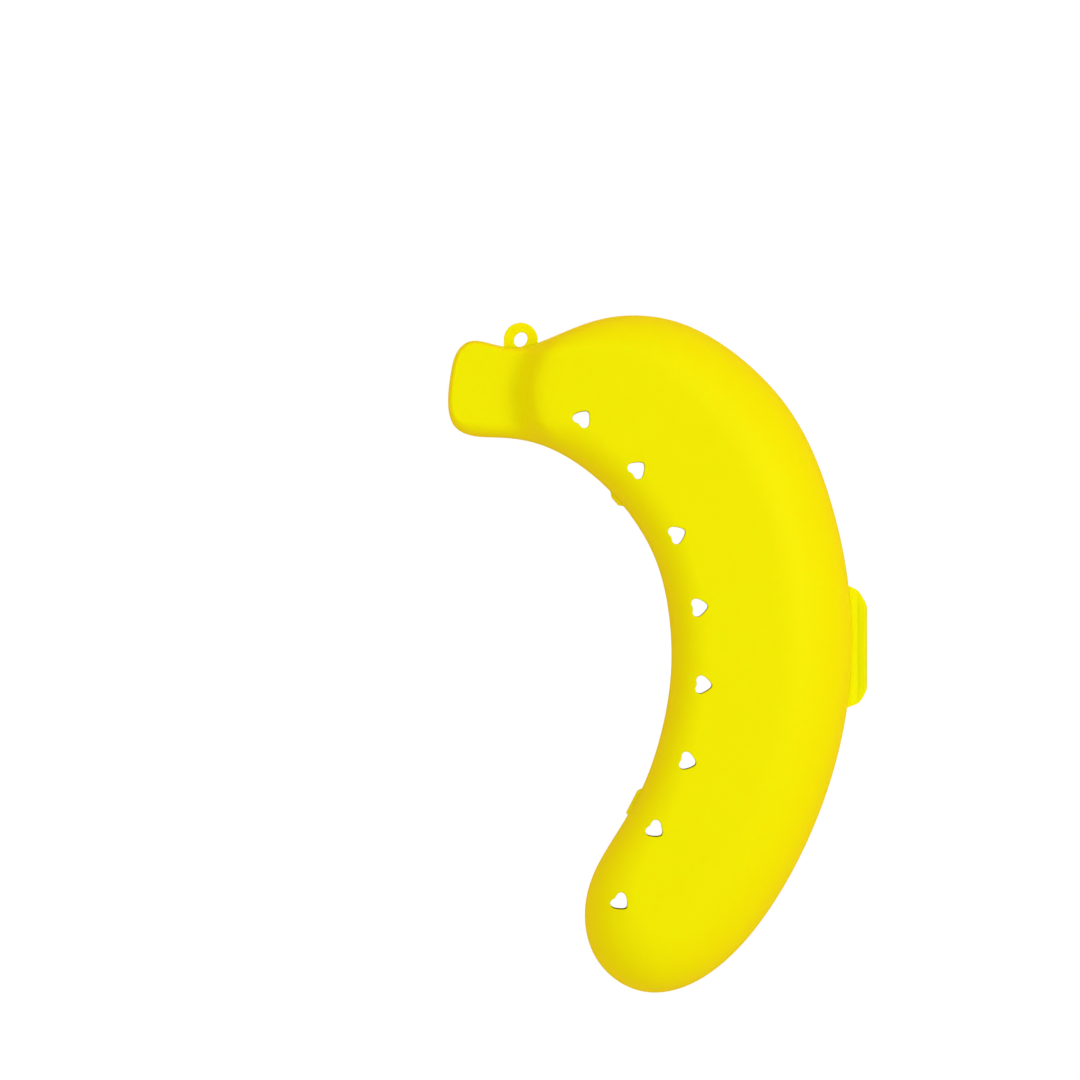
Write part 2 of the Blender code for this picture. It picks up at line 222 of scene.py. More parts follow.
# ---------------------------------------------------------------- plastic, camera and light
SHELL_SKIN = {
    "Colour": (0.94, 0.92, 0.0, 1),
    "Cloud Colour": (0.93, 0.905, 0.0, 1),
    "Cloud Size": 0.06,
    "Grain Size": 0.0007,
    "Roughness": 0.42,
    "Roughness Spread": 0.12,
}
# Lighter copy of the shell plastic for the thin fittings: painted light, a brighter colour standing in
# for light that shines through thin plastic.
THIN_SKIN_PAINTED_LIGHT = {
    "Colour": (0.995, 0.975, 0.0, 1),
    "Cloud Colour": (0.985, 0.96, 0.0, 1),
    "Cloud Size": 0.01,
    "Grain Size": 0.0005,
    "Roughness": 0.38,
    "Roughness Spread": 0.12,
}
SPECULAR = 0.45
SHEEN_TINT = (1.0, 0.93, 0.06, 1)  # set for the look: real plastic reflects white
SUBSURFACE = 0.6
SUBSURFACE_RADIUS = (1.0, 0.6, 0.05)
SUBSURFACE_DEPTH = 1.2 * MM
GRAIN_HEIGHT = 0.01 * MM
GRAIN_STRENGTH = 0.25
CLOUD_DETAIL = 2.0
CLOUD_DISTORTION = 0.6
GRAIN_DETAIL = 3.0
CLOUD_RANGE = (0.3, 0.7)

CAMERA_DISTANCE = 12.0
CAMERA_SENSOR = 36.0
CAMERA_FAR_END = 100.0
FRAME_WIDTH = 302.4 * MM
CAMERA_X = -32.9 * MM
CAMERA_Y = 31.8 * MM

ZENITH_COLOUR = (1.24, 1.26, 1.24, 1)
HORIZON_COLOUR = (1.22, 0.86, 0.2, 1)
WORLD_STRENGTH = 0.64
KEY_PLACE = (1.1, 0.45, 1.6)
KEY_SIZE = 0.9
KEY_POWER = 9.0
FLOOR_COLOUR = (0.93, 0.62, 0.13, 1)
FLOOR_GLOW = 0.97
FLOOR_GLOW_STRENGTH = 1.03
FLOOR_ROUGHNESS = 0.9
FLOOR_SIZE = 60.0


# ---------------------------------------------------------------- outline of the case
def closed_spline(knots):
    """Second derivatives and knot distances of the smooth closed curve through the knots."""
    count = len(knots)
    after = np.roll(knots, -1, axis=0)
    before = np.roll(knots, 1, axis=0)
    step = np.linalg.norm((after - knots)[:, :2], axis=1)
    last_step = np.roll(step, 1)
    system = np.zeros((count, count))
    for i in range(count):
        system[i, i - 1] += last_step[i]
        system[i, i] += 2 * (last_step[i] + step[i])
        system[i, (i + 1) % count] += step[i]
    right = 6 * ((after - knots) / step[:, None] - (knots - before) / last_step[:, None])
    return np.linalg.solve(system, right), step


def spline_point(knots, bend, step, i, t):
    """Point and direction at fraction t of the stretch after knot i."""
    j = (i + 1) % len(knots)
    h = step[i]
    a = (1 - t) * h
    b = t * h
    start = knots[i] / h - bend[i] * h / 6
    end = knots[j] / h - bend[j] * h / 6
    point = (bend[i] * a**3 + bend[j] * b**3) / (6 * h) + start * a + end * b
    slope = (bend[j] * b**2 - bend[i] * a**2) / (2 * h) - start + end
    return point, slope[:2]


def walk_spline(knots, cuts):
    """Points and inward normals of an anticlockwise closed spline, cut evenly between knots."""
    bend, step = closed_spline(knots)
    rows = []
    for i, count in enumerate(cuts):
        for k in range(count):
            rows.append(spline_point(knots, bend, step, i, k / count))
    points = np.array([row[0] for row in rows])
    slopes = np.array([row[1] for row in rows])
    slopes /= np.linalg.norm(slopes, axis=1)[:, None]
    return points, np.column_stack((-slopes[:, 1], slopes[:, 0]))


def case_outline(spacing):
    """Anticlockwise outline from the stem end; the point opposite number i is number -i."""
    inner = [station[0] for station in STATIONS]
    outer = [station[1] for station in STATIONS]
    knots = np.array([STEM_END] + inner + [TIP_END] + outer[::-1]) * MM
    _, step = closed_spline(knots)
    half = len(STATIONS) + 1
    cuts = [max(2, round(max(step[i], step[-1 - i]) / spacing)) for i in range(half)]
    points, normals = walk_spline(knots, cuts + cuts[::-1])
    return points[:, :2], normals, points[:, 2]


def depth_at(x, y):
    """Distance from the parting plane to the outer flat face of one shell over a place."""
    bow = min(SHOULDER_BOW_LIMIT, SHOULDER_BOW * (y - SHOULDER_BOW_Y) ** 2)
    rise = 0.5 + 0.5 * math.tanh((x - bow - SHOULDER_X) / SHOULDER_SPREAD)
    return STEM_DEPTH + (BODY_DEPTH - STEM_DEPTH) * rise


def inner_depth_at(x, y):
    """The same for the inside of the shell, one wall away square to the surface."""
    reach = 0.1 * MM
    slope_x = (depth_at(x + reach, y) - depth_at(x - reach, y)) / (2 * reach)
    slope_y = (depth_at(x, y + reach) - depth_at(x, y - reach)) / (2 * reach)
    return depth_at(x, y) - WALL * math.sqrt(1 + slope_x**2 + slope_y**2)


# ---------------------------------------------------------------- mesh helpers
def mesh_object(name, shape):
    """Object made of a finished bmesh."""
    mesh = bpy.data.meshes.new(name)
    shape.to_mesh(mesh)
    shape.free()
    thing = bpy.data.objects.new(name, mesh)
    bpy.context.scene.collection.objects.link(thing)
    return thing


def smooth(thing):
    """Shades smooth across gentle angles and sharp across the rest."""
    thing.data.shade_smooth()
    thing.data.set_sharp_from_angle(angle=SMOOTH_ANGLE)


def weigh_normals(thing):
    """Keeps large faces evenly shaded right up to their small rounded edges."""
    weigh = thing.modifiers.new("weigh", "WEIGHTED_NORMAL")
    weigh.keep_sharp = True
    weigh.weight = NORMAL_WEIGHT


def apply_modifiers(thing):
    """Turns the object's evaluated shape into its own mesh."""
    bpy.context.view_layer.update()
    seen = thing.evaluated_get(bpy.context.evaluated_depsgraph_get())
    mesh = bpy.data.meshes.new_from_object(seen)
    thing.modifiers.clear()
    thing.data = mesh


def round_edges(thing):
    """Gives a fitting the small rounded edges that a mould leaves."""
    bevel = thing.modifiers.new("round", "BEVEL")
    bevel.width = FITTING_ROUND
    bevel.segments = FITTING_ROUND_STEPS
    bevel.limit_method = "ANGLE"
    bevel.angle_limit = ROUNDED_ANGLE
    apply_modifiers(thing)


def combine(thing, tool, operation):
    """Cuts or trims a piece with a tool, which is then thrown away."""
    cut = thing.modifiers.new("cut", "BOOLEAN")
    cut.operation = operation
    cut.solver = "EXACT"
    cut.object = tool
    apply_modifiers(thing)
    bpy.data.objects.remove(tool, do_unlink=True)


def close_ring(shape, low, high):
    """Faces between two rings of vertices; high lies above low on an anticlockwise wall."""
    count = len(low)
    for i in range(count):
        j = (i + 1) % count
        shape.faces.new((low[i], low[j], high[j], high[i]))


def ring_block(name, low_places, high_places):
    """Closed block between two matching outlines."""
    shape = bmesh.new()
    low = [shape.verts.new(place) for place in low_places]
    high = [shape.verts.new(place) for place in high_places]
    close_ring(shape, low, high)
    shape.faces.new(low[::-1])
    shape.faces.new(high)
    bmesh.ops.recalc_face_normals(shape, faces=shape.faces)
    return mesh_object(name, shape)


# ---------------------------------------------------------------- shells
def skin_column(point, normal, width, inset, depth_of, foot):
    """Places up one side of a skin: a leaning wall, then the rounded edge."""
    edge = max(LEAST_EDGE, width - inset)
    column = []
    for k in range(WALL_ROWS + FILLET_ROWS + 1):
        turn = 0.5 * math.pi * max(0, k - WALL_ROWS) / FILLET_ROWS
        depth = depth_of(*(point + normal * (inset + edge * (1 - math.cos(turn)))))
        round_part = depth * math.tanh(EDGE_FULLNESS * edge / depth)
        wall_part = depth - round_part
        lean = wall_part * math.tan(DRAFT)
        if k < WALL_ROWS:
            along = lean * k / WALL_ROWS
            height = foot + (wall_part - foot) * k / WALL_ROWS
        else:
            along = lean + (edge - lean) * (1 - math.cos(turn))
            height = depth - round_part * (1 - math.sin(turn))
        column.append((*(point + normal * (inset + along)), height))
    return column


def skin_rings(points, normals, widths, inset, depth_of, foot):
    """Rings of one skin from its rim to its flat face."""
    columns = []
    for point, normal, width in zip(points, normals, widths):
        columns.append(skin_column(point, normal, width, inset, depth_of, foot))
    return [list(ring) for ring in zip(*columns)]


def flat_lines(shape, top, depth_of):
    """Lines of vertices from side to side of the flat face, whose rim is the ring top."""
    half = len(top) // 2
    lines = []
    for i in range(1, half):
        line = [top[i]]
        for k in range(1, FLAT_COLUMNS):
            place = top[i].co.lerp(top[-i].co, k / FLAT_COLUMNS)
            place.z = depth_of(place.x, place.y)
            line.append(shape.verts.new(place))
        lines.append(line + [top[-i]])
    return lines


def fill_flat(shape, top, depth_of):
    """Faces over the whole flat face, with a fan of triangles at each end."""
    lines = flat_lines(shape, top, depth_of)
    half = len(top) // 2
    for line, after in zip(lines, lines[1:]):
        for k in range(FLAT_COLUMNS):
            shape.faces.new((line[k], after[k], after[k + 1], line[k + 1]))
    for k in range(FLAT_COLUMNS):
        shape.faces.new((top[0], lines[0][k], lines[0][k + 1]))
        shape.faces.new((lines[-1][k], top[half], lines[-1][k + 1]))


def shell_body():
    """One closed upright shell without vents, its rim just above the parting plane at z = 0."""
    points, normals, widths = case_outline(OUTLINE_STEP)
    wall_foot = RIM_LIFT + RIM_ROUND
    outer = skin_rings(points, normals, widths, 0.0, depth_at, wall_foot)
    inner = skin_rings(points, normals, widths, WALL, inner_depth_at, wall_foot)
    turns = [0.5 * math.pi * k / RIM_ROWS for k in range(1, RIM_ROWS + 1)]
    rim = [(RIM_ROUND * (1 - math.cos(t)), wall_foot - RIM_ROUND * math.sin(t)) for t in turns]
    shape = bmesh.new()
    rows = [[shape.verts.new(place) for place in ring] for ring in inner[::-1]]
    for inset, height in rim:
        rows.append([shape.verts.new((*place, height)) for place in points + normals * (WALL - inset)])
    for inset, height in rim[::-1]:
        rows.append([shape.verts.new((*place, height)) for place in points + normals * inset])
    rows += [[shape.verts.new(place) for place in ring] for ring in outer]
    for low, high in zip(rows, rows[1:]):
        close_ring(shape, low, high)
    fill_flat(shape, rows[-1], depth_at)
    outside = set(shape.faces)
    fill_flat(shape, rows[0], inner_depth_at)
    inside = [face for face in shape.faces if face not in outside]
    bmesh.ops.reverse_faces(shape, faces=inside)
    return shape


def heart_outline():
    """Anticlockwise heart about its middle, its point along +X: points and outward normals."""
    lower = [(x, -y) for x, y in HEART_HALF[:0:-1]]
    knots = np.array(HEART_HALF + [HEART_NOTCH] + lower) * MM
    points, inward = walk_spline(knots, [HEART_CUTS] * len(knots))
    return points, -inward


def surface_heights(tree, x, y):
    """Heights of the outer and the inner skin of an upright shell over a place."""
    down = Vector((0, 0, -1))
    outer = tree.ray_cast(Vector((x, y, 2 * BODY_DEPTH)), down)[0].z
    inner = tree.ray_cast(Vector((x, y, outer - HAIR)), down)[0].z
    return outer, inner


def lip_offsets(k):
    """How far ring k of a heart cutter spreads and rises past a skin; the last stands clear of it."""
    lip = LIP_TURN * min(k, LIP_STEPS) / LIP_STEPS
    spread = LIP_RADIUS * (1 - math.cos(lip))
    if k > LIP_STEPS:
        return spread, CUTTER_RISE
    return spread, LIP_RADIUS * (math.sin(lip) - 1)


def vent_cutter(tree):
    """All heart cutters as one mesh. Each flares out where it meets a skin, for a rounded lip."""
    shape = bmesh.new()
    points, outward = heart_outline()
    levels = [(k, False) for k in range(LIP_STEPS + 1, -1, -1)]
    levels += [(k, True) for k in range(LIP_STEPS + 2)]
    for x, y, angle in VENTS:
        turn = math.radians(angle)
        spin = np.array([[math.cos(turn), -math.sin(turn)], [math.sin(turn), math.cos(turn)]])
        middle = np.array((x, y)) * MM
        rings = []
        for k, is_outer in levels:
            spread, rise = lip_offsets(k)
            ring = []
            for place in middle + (points + outward * spread) @ spin.T:
                outer, inner = surface_heights(tree, *place)
                ring.append(shape.verts.new((*place, outer + rise if is_outer else inner - rise)))
            rings.append(ring)
        for low, high in zip(rings, rings[1:]):
            close_ring(shape, low, high)
        shape.faces.new(rings[0][::-1])
        shape.faces.new(rings[-1])
    return mesh_object("vent_cutter", shape)


def half_case(name, side, node, body):
    """One finished shell; side is +1 for the front half and -1 for the back."""
    shape = shell_body()
    tree = BVHTree.FromBMesh(shape)
    shell = mesh_object(name, shape)
    combine(shell, vent_cutter(tree), "DIFFERENCE")
    shell.data.transform(Matrix.Diagonal((1, 1, side, 1)))
    if side < 0:
        shell.data.flip_normals()
    shell.data.transform(Matrix.Translation((0, 0, PARTING_Z)))
    smooth(shell)
    weigh_normals(shell)
    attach(shell, body)
    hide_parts(node)
    return shell


# ---------------------------------------------------------------- plates and blocks
def prism(name, plan, low, high):
    """Upright block over an anticlockwise plan."""
    return ring_block(name, [(x, y, low) for x, y in plan], [(x, y, high) for x, y in plan])


def outward_normals(points):
    """Directions square to an anticlockwise outline, away from its inside."""
    along = np.roll(points, -1, axis=0) - np.roll(points, 1, axis=0)
    along /= np.linalg.norm(along, axis=1)[:, None]
    return np.column_stack((along[:, 1], -along[:, 0]))


def ring_plate(name, outer, inner, low, high, edge):
    """Flat ring between two matching anticlockwise outlines, with all four edges rounded."""
    outer_normals = outward_normals(outer)
    inner_normals = outward_normals(inner)
    turns = [0.5 * math.pi * k / PLATE_EDGE_ROWS for k in range(PLATE_EDGE_ROWS + 1)]
    side = [(edge * (1 - math.sin(t)), low + edge * (1 - math.cos(t))) for t in turns]
    side += [(edge * (1 - math.cos(t)), high - edge * (1 - math.sin(t))) for t in turns]
    shape = bmesh.new()
    rows = []
    for inset, height in side:
        ring = outer - outer_normals * inset
        rows.append([shape.verts.new((*place, height)) for place in ring])
    for inset, height in side[::-1]:
        ring = inner + inner_normals * inset
        rows.append([shape.verts.new((*place, height)) for place in ring])
    for near, far in zip(rows, rows[1:] + rows[:1]):
        close_ring(shape, near, far)
    return mesh_object(name, shape)


def finish_fitting(thing, body):
    """Shades a moulded fitting and ties it to its half of the case."""
    smooth(thing)
    weigh_normals(thing)
    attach(thing, body)
    return thing


# ---------------------------------------------------------------- hinge
def tab_outline():
    """Clockwise plan of the whole tab from its top end, with softened corners."""
    corners = [Vector((x * MM, y * MM)) for x, y in TAB_PLAN]
    outline = [corners[0]]
    for before, corner, after in zip(corners, corners[1:-1], corners[2:]):
        start = corner + (before - corner).normalized() * TAB_CORNER
        end = corner + (after - corner).normalized() * TAB_CORNER
        for k in range(TAB_CORNER_STEPS + 1):
            t = k / TAB_CORNER_STEPS
            outline.append(start * (1 - t) ** 2 + corner * 2 * t * (1 - t) + end * t * t)
    return [tuple(p) for p in outline + corners[-1:]]


def hinge_flange(name, side, body):
    """Stiff strip from the wall of one shell, thinned towards the bending web."""
    points, normals, _ = case_outline(OUTLINE_STEP)
    rooted = points + normals * 0.5 * WALL
    near = [(x, y) for x, y in rooted if x > HINGE_SIDE_X and HINGE_BOTTOM_Y < y < HINGE_TOP_Y]
    outer = [(min(x, FLANGE_END_X), y) for x, y in tab_outline()]
    low = WEB_RADIUS - FLANGE_THICKNESS / 2
    high = WEB_RADIUS + FLANGE_THICKNESS / 2
    flange = prism(name, near[::-1] + outer[::-1], low, high)
    shape = bmesh.new()
    shape.from_mesh(flange.data)
    everything = shape.verts[:] + shape.edges[:] + shape.faces[:]
    ramp_start = (FLANGE_END_X - FLANGE_RAMP, 0, 0)
    bmesh.ops.bisect_plane(shape, geom=everything, plane_co=ramp_start, plane_no=(1, 0, 0))
    for vertex in shape.verts:
        if vertex.co.x > FLANGE_END_X - HAIR and vertex.co.z > WEB_RADIUS:
            vertex.co.z = WEB_RADIUS + 0.5 * WEB_THICKNESS + WEB_COVER
        vertex.co.z = PARTING_Z + side * vertex.co.z
    bmesh.ops.recalc_face_normals(shape, faces=shape.faces)
    shape.to_mesh(flange.data)
    shape.free()
    round_edges(flange)
    return finish_fitting(flange, body)


def hinge_web():
    """Thin strip bent once round the hinge line, its leaves let into both flanges."""
    leaf = FLANGE_END_X - WEB_REACH - HINGE.x
    turns = [math.pi * (0.5 - k / WEB_STEPS) for k in range(WEB_STEPS + 1)]
    leaves = [leaf * (1 - k / LEAF_STEPS) for k in range(LEAF_STEPS)]
    section = []
    for radius in (WEB_RADIUS + WEB_THICKNESS / 2, WEB_RADIUS - WEB_THICKNESS / 2):
        row = [(x, radius) for x in leaves]
        row += [(radius * math.cos(t), radius * math.sin(t)) for t in turns]
        row += [(x, -radius) for x in leaves[::-1]]
        section.append(row)
    section = section[0] + section[1][::-1]
    ends = []
    for y in (2 * HINGE_BOTTOM_Y, 2 * HINGE_TOP_Y):
        ends.append([(HINGE.x + x, y, PARTING_Z + z) for x, z in section])
    web = ring_block("hinge_web", *ends)
    combine(web, prism("tab_block", tab_outline()[::-1], 0, 2 * PARTING_Z), "INTERSECT")
    smooth(web)
    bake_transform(web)
    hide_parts("living_hinge")
    return web


# ---------------------------------------------------------------- hanging eyes
def eye_plate(name, side, body):
    """Thin eye beside the stem: round above its middle, straight-sided below, let into the wall."""
    turns = [2 * math.pi * k / EYE_POINTS for k in range(EYE_POINTS)]
    foot = LOOP_CENTRE.y - LOOP_ROOT_Y
    outer = []
    for t in turns:
        across = math.cos(t)
        up = math.sin(t)
        reach = LOOP_RADIUS
        if up < 0:
            reach = 1 / max(abs(across) / LOOP_RADIUS, abs(up) / foot)
        outer.append((LOOP_CENTRE.x + across * reach, LOOP_CENTRE.y + up * reach))
    inner = []
    for t in turns:
        across = LOOP_HOLE_RADIUS * (1 - EYE_HOLE_SQUEEZE) * math.cos(t + EYE_HOLE_TILT)
        up = LOOP_HOLE_RADIUS * (1 + EYE_HOLE_SQUEEZE) * math.sin(t + EYE_HOLE_TILT)
        x = across * math.cos(EYE_HOLE_TILT) + up * math.sin(EYE_HOLE_TILT)
        y = up * math.cos(EYE_HOLE_TILT) - across * math.sin(EYE_HOLE_TILT)
        inner.append((LOOP_CENTRE.x + x, LOOP_CENTRE.y + y))
    near = PARTING_Z + side * LOOP_LIFT
    far = near + side * LOOP_THICKNESS
    low = min(near, far)
    high = max(near, far)
    eye = ring_plate(name, np.array(outer), np.array(inner), low, high, EYE_EDGE)
    return finish_fitting(eye, body)


# ---------------------------------------------------------------- latches
def latch_frame(label):
    """Turns (along the wall, up, into the case) about the latch at the wall into world places."""
    x, y, angle, _, _, _ = LATCHES[label]
    turn = math.radians(angle)
    along = Vector((math.cos(turn), math.sin(turn), 0))
    up = Vector((0, 0, 1))
    inward = along.cross(up)
    frame = Matrix((along, up, inward)).transposed().to_4x4()
    return Matrix.Translation((x * MM, y * MM, PARTING_Z)) @ frame


def side_block(name, profile, start, end):
    """Block over a side view of (out from the wall, up), from start to end along the wall."""
    near = [(start, up, -out) for out, up in profile]
    far = [(end, up, -out) for out, up in profile]
    return ring_block(name, near, far)


def plan_block(name, plan, reach):
    """Block over a plan of (along the wall, out from it), reaching as far down as up."""
    low = [(along, -reach, -out) for along, out in plan]
    high = [(along, reach, -out) for along, out in plan]
    return ring_block(name, low, high)


def window_ends(label):
    """Where the window in a latch tongue starts and ends along the wall."""
    _, _, _, length, low_taper, high_taper = (value * MM for value in LATCHES[label])
    low_end = -0.5 * length + WINDOW_TAPER * low_taper + STRIP_BAR
    high_end = 0.5 * length - WINDOW_TAPER * high_taper - STRIP_BAR
    return low_end, high_end


def latch_tongue(label, body):
    """Springy strip with a window, hung from a thicker root on the wall of the front shell."""
    _, _, _, length, low_taper, high_taper = (value * MM for value in LATCHES[label])
    low_face = -0.5 * length + low_taper
    high_face = 0.5 * length - high_taper
    inner_face = TONGUE_PROUD - TONGUE_THICKNESS
    profile = [
        (TONGUE_PROUD, TONGUE_END_CHAMFER[1] - TONGUE_DROP),
        (TONGUE_PROUD, TONGUE_ROOT - ROOT_SLOPE),
        (ROOT_TOP_PROUD, TONGUE_ROOT),
        (-ROOT_REACH, TONGUE_ROOT),
        (-ROOT_REACH, ROOT_FOOT),
        (inner_face, ROOT_FOOT),
        (inner_face, LEAD_IN[1] - TONGUE_DROP),
        (inner_face + LEAD_IN[0], -TONGUE_DROP),
        (TONGUE_PROUD - TONGUE_END_CHAMFER[0], -TONGUE_DROP),
    ]
    tongue = side_block(f"{label}_tongue", profile, -length, length)
    widening = 1 + ROOT_REACH / TONGUE_PROUD
    plan = [
        (high_face, TONGUE_PROUD),
        (high_face + high_taper * widening, -ROOT_REACH),
        (low_face - low_taper * widening, -ROOT_REACH),
        (low_face, TONGUE_PROUD),
    ]
    combine(tongue, plan_block("taper", plan, 2 * TONGUE_DROP), "INTERSECT")
    opening = [
        (2 * TONGUE_PROUD, -WINDOW_TOP),
        (2 * TONGUE_PROUD, -WINDOW_TOP - WINDOW_HEIGHT),
        (0, -WINDOW_TOP - WINDOW_HEIGHT),
        (0, -WINDOW_TOP),
    ]
    combine(tongue, side_block("window", opening, *window_ends(label)), "DIFFERENCE")
    round_edges(tongue)
    tongue.data.transform(latch_frame(label))
    return finish_fitting(tongue, body)


def latch_catch(label, body):
    """Ramped catch on the wall of the back shell, which stands in the tongue's window."""
    low_end, high_end = window_ends(label)
    top = -WINDOW_TOP - CATCH_GAP
    foot = -WINDOW_TOP - WINDOW_HEIGHT + CATCH_GAP
    middle = 0.5 * (top + foot)
    face = TONGUE_PROUD - TONGUE_THICKNESS + CATCH_PROUD
    profile = [
        (-ROOT_REACH, foot),
        (face, foot),
        (face, middle),
        (CATCH_TOP_PROUD, top),
        (-ROOT_REACH, top),
    ]
    catch = side_block(f"{label}_catch", profile, low_end + CATCH_GAP, high_end - CATCH_GAP)
    round_edges(catch)
    catch.data.transform(latch_frame(label))
    return finish_fitting(catch, body)


# ---------------------------------------------------------------- plastic
def skin_group():
    """Slight clouds in the colour and the sheen of a moulded skin, and its fine grain."""
    group = bpy.data.node_groups.new("moulded_skin", "ShaderNodeTree")
    sockets = group.interface
    for name, kind, value in (
        ("Colour", "NodeSocketColor", (1, 1, 1, 1)),
        ("Cloud Colour", "NodeSocketColor", (1, 1, 1, 1)),
        ("Cloud Size", "NodeSocketFloat", 0.05),
        ("Grain Size", "NodeSocketFloat", 0.0006),
        ("Roughness", "NodeSocketFloat", 0.5),
        ("Roughness Spread", "NodeSocketFloat", 0.05),
    ):
        socket = sockets.new_socket(name, in_out="INPUT", socket_type=kind)
        socket.default_value = value
    sockets.new_socket("Colour", in_out="OUTPUT", socket_type="NodeSocketColor")
    sockets.new_socket("Roughness", in_out="OUTPUT", socket_type="NodeSocketFloat")
    sockets.new_socket("Height", in_out="OUTPUT", socket_type="NodeSocketFloat")
    nodes, links = group.nodes, group.links
    given = nodes.new("NodeGroupInput")
    put_out = nodes.new("NodeGroupOutput")
    place = nodes.new("ShaderNodeTexCoord")

    def noise(size_socket, detail, distortion):
        """Noise whose features are about as wide as the size in metres."""
        per_metre = nodes.new("ShaderNodeMath")
        per_metre.operation = "DIVIDE"
        per_metre.inputs[0].default_value = 1.0
        links.new(size_socket, per_metre.inputs[1])
        texture = nodes.new("ShaderNodeTexNoise")
        texture.inputs["Detail"].default_value = detail
        texture.inputs["Distortion"].default_value = distortion
        links.new(place.outputs["Object"], texture.inputs["Vector"])
        links.new(per_metre.outputs[0], texture.inputs["Scale"])
        return texture.outputs["Fac"]

    clouds = noise(given.outputs["Cloud Size"], CLOUD_DETAIL, CLOUD_DISTORTION)
    grain = noise(given.outputs["Grain Size"], GRAIN_DETAIL, 0.0)
    spread = nodes.new("ShaderNodeMapRange")
    spread.inputs["From Min"].default_value = CLOUD_RANGE[0]
    spread.inputs["From Max"].default_value = CLOUD_RANGE[1]
    links.new(clouds, spread.inputs["Value"])
    mix = nodes.new("ShaderNodeMix")
    mix.data_type = "RGBA"
    links.new(spread.outputs["Result"], mix.inputs["Factor"])
    links.new(given.outputs["Colour"], mix.inputs["A"])
    links.new(given.outputs["Cloud Colour"], mix.inputs["B"])
    links.new(mix.outputs["Result"], put_out.inputs["Colour"])
    rough = nodes.new("ShaderNodeMath")
    rough.operation = "MULTIPLY_ADD"
    links.new(grain, rough.inputs[0])
    links.new(given.outputs["Roughness Spread"], rough.inputs[1])
    links.new(given.outputs["Roughness"], rough.inputs[2])
    links.new(rough.outputs[0], put_out.inputs["Roughness"])
    links.new(grain, put_out.inputs["Height"])
    return group


def plastic(name, group, values):
    """Satin moulded plastic, which lets a little light in under its skin."""
    material = bpy.data.materials.new(name)
    material.use_nodes = True
    nodes, links = material.node_tree.nodes, material.node_tree.links
    shader = nodes["Principled BSDF"]
    skin = nodes.new("ShaderNodeGroup")
    skin.node_tree = group
    for socket, value in values.items():
        skin.inputs[socket].default_value = value
    links.new(skin.outputs["Colour"], shader.inputs["Base Color"])
    links.new(skin.outputs["Roughness"], shader.inputs["Roughness"])
    bump = nodes.new("ShaderNodeBump")
    bump.inputs["Strength"].default_value = GRAIN_STRENGTH
    bump.inputs["Distance"].default_value = GRAIN_HEIGHT
    links.new(skin.outputs["Height"], bump.inputs["Height"])
    links.new(bump.outputs["Normal"], shader.inputs["Normal"])
    shader.inputs["Specular IOR Level"].default_value = SPECULAR
    shader.inputs["Specular Tint"].default_value = SHEEN_TINT
    shader.inputs["Subsurface Weight"].default_value = SUBSURFACE
    shader.inputs["Subsurface Radius"].default_value = SUBSURFACE_RADIUS
    shader.inputs["Subsurface Scale"].default_value = SUBSURFACE_DEPTH
    return material


def dress(things, material):
    """Gives every piece listed one material."""
    for thing in things:
        thing.data.materials.clear()
        thing.data.materials.append(material)


# ---------------------------------------------------------------- camera, light and floor
def make_camera():
    """Looks straight down from far off, so that the vents of both shells line up."""
    camera = bpy.data.objects.new("camera", bpy.data.cameras.new("camera"))
    bpy.context.scene.collection.objects.link(camera)
    camera.data.sensor_width = CAMERA_SENSOR
    camera.data.lens = CAMERA_SENSOR * CAMERA_DISTANCE / FRAME_WIDTH
    camera.data.clip_end = CAMERA_FAR_END
    camera.location = (CAMERA_X, CAMERA_Y, PARTING_Z + CAMERA_DISTANCE)
    bpy.context.scene.camera = camera


def make_key_lamp():
    """Soft round lamp from the hinge side, which looks at the case."""
    light = bpy.data.lights.new("key", "AREA")
    light.shape = "DISK"
    light.size = KEY_SIZE
    light.energy = KEY_POWER
    lamp = bpy.data.objects.new("key", light)
    bpy.context.scene.collection.objects.link(lamp)
    lamp.location = KEY_PLACE
    lamp.rotation_mode = "QUATERNION"
    lamp.rotation_quaternion = (-Vector(KEY_PLACE)).to_track_quat("-Z", "Y")


def make_surroundings():
    """Bright room, golden low down and white overhead, which the camera sees as plain white."""
    world = bpy.data.worlds.new("studio")
    world.use_nodes = True
    nodes, links = world.node_tree.nodes, world.node_tree.links
    back = nodes["Background"]
    place = nodes.new("ShaderNodeTexCoord")
    split = nodes.new("ShaderNodeSeparateXYZ")
    links.new(place.outputs["Generated"], split.inputs[0])
    sky = nodes.new("ShaderNodeMix")
    sky.data_type = "RGBA"
    sky.inputs["A"].default_value = HORIZON_COLOUR
    sky.inputs["B"].default_value = ZENITH_COLOUR
    links.new(split.outputs["Z"], sky.inputs["Factor"])
    links.new(sky.outputs["Result"], back.inputs["Color"])
    back.inputs["Strength"].default_value = WORLD_STRENGTH
    seen = nodes.new("ShaderNodeBackground")
    seen.inputs["Color"].default_value = (1, 1, 1, 1)
    path = nodes.new("ShaderNodeLightPath")
    mix = nodes.new("ShaderNodeMixShader")
    links.new(path.outputs["Is Camera Ray"], mix.inputs["Fac"])
    links.new(back.outputs["Background"], mix.inputs[1])
    links.new(seen.outputs["Background"], mix.inputs[2])
    links.new(mix.outputs["Shader"], nodes["World Output"].inputs["Surface"])
    bpy.context.scene.world = world


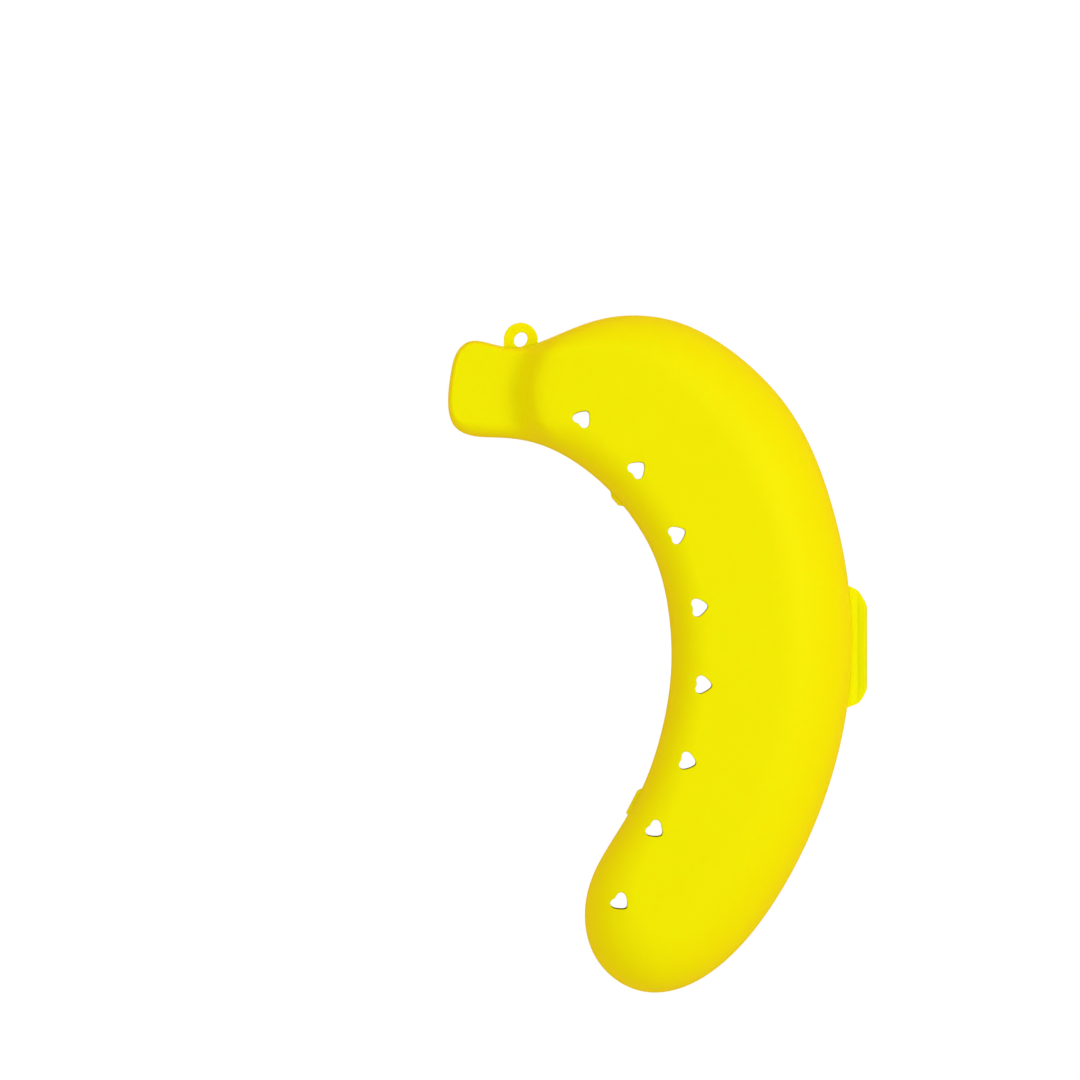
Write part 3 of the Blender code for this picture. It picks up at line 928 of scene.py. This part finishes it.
def make_floor():
    """Wide floor that looks almost white and throws golden light back up at the case."""
    bpy.ops.mesh.primitive_plane_add(size=FLOOR_SIZE, location=(0, 0, 0))
    floor = bpy.context.object
    floor.name = "floor"
    material = bpy.data.materials.new("floor_white")
    material.use_nodes = True
    nodes, links = material.node_tree.nodes, material.node_tree.links
    shader = nodes["Principled BSDF"]
    shader.inputs["Base Color"].default_value = FLOOR_COLOUR
    shader.inputs["Roughness"].default_value = FLOOR_ROUGHNESS
    shader.inputs["Specular IOR Level"].default_value = 0.0
    glow = nodes.new("ShaderNodeEmission")
    glow.inputs["Color"].default_value = (1, 1, 1, 1)
    glow.inputs["Strength"].default_value = FLOOR_GLOW_STRENGTH
    path = nodes.new("ShaderNodeLightPath")
    share = nodes.new("ShaderNodeMath")
    share.operation = "MULTIPLY"
    share.inputs[1].default_value = FLOOR_GLOW
    mix = nodes.new("ShaderNodeMixShader")
    links.new(path.outputs["Is Camera Ray"], share.inputs[0])
    links.new(share.outputs[0], mix.inputs["Fac"])
    links.new(shader.outputs["BSDF"], mix.inputs[1])
    links.new(glow.outputs["Emission"], mix.inputs[2])
    links.new(mix.outputs["Shader"], nodes["Material Output"].inputs["Surface"])
    floor.data.materials.append(material)


# ---------------------------------------------------------------- the whole case
shell_pieces = []
thin_pieces = []
for half, side, node, body in (
    ("front", +1, "front_shell", "front_half"),
    ("back", -1, "back_shell", "back_half"),
):
    shell_pieces.append(half_case(f"{half}_case", side, node, body))
    thin_pieces.append(hinge_flange(f"{half}_flange", side, body))
    thin_pieces.append(eye_plate(f"{half}_eye", side, body))
for label in LATCHES:
    shell_pieces.append(latch_tongue(label, "front_half"))
    shell_pieces.append(latch_catch(label, "back_half"))
thin_pieces.append(hinge_web())

skin = skin_group()
shell_plastic = plastic("shell_plastic", skin, SHELL_SKIN)
# The thin fittings wear the lighter copy, whose extra brightness is painted see-through light.
thin_plastic_painted_light = plastic("thin_plastic_painted_light", skin, THIN_SKIN_PAINTED_LIGHT)
dress(shell_pieces, shell_plastic)
dress(thin_pieces, thin_plastic_painted_light)

make_camera()
make_key_lamp()
make_surroundings()
make_floor()
bpy.context.scene.view_settings.view_transform = "Standard"
